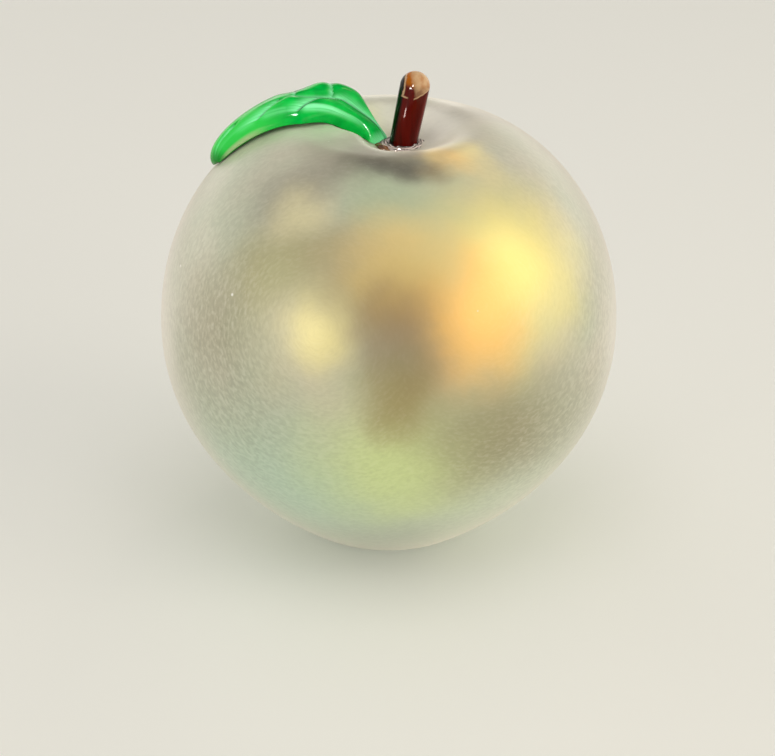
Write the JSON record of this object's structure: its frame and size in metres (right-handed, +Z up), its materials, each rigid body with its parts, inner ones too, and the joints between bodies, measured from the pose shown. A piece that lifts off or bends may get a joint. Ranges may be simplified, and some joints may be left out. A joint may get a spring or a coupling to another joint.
{
  "type": "art glass apple",
  "caption": "Ornament in the shape of an apple: a hollow blown glass body on a flat foot, with a glass stem and a pressed glass leaf cemented into the dimple at its top.",
  "frame": {"origin": "centre of the foot, on the surface that the apple stands on", "axes": "+Z up along the body's axis of revolution, -X towards the leaf's tip, +X the way the stem leans"},
  "size_m": [0.09, 0.09, 0.0935],
  "materials": {
    "iridised_glass": "iridised satin, pearl grey with gold, orange and green lustre",
    "brown_glass": "fire-polished, dark red-brown with an amber tip",
    "green_glass": "fire-polished, opal green with darker veins",
    "clear_cement": "glossy, set in ripples",
    "amber_cement": "glossy bead"
  },
  "bodies": {
    "root": {"glass_body": "iridised_glass", "glass_stem": "brown_glass", "glass_leaf": "green_glass", "stem_cement": "clear_cement", "leaf_cement": "amber_cement"}
  },
  "joints": []
}
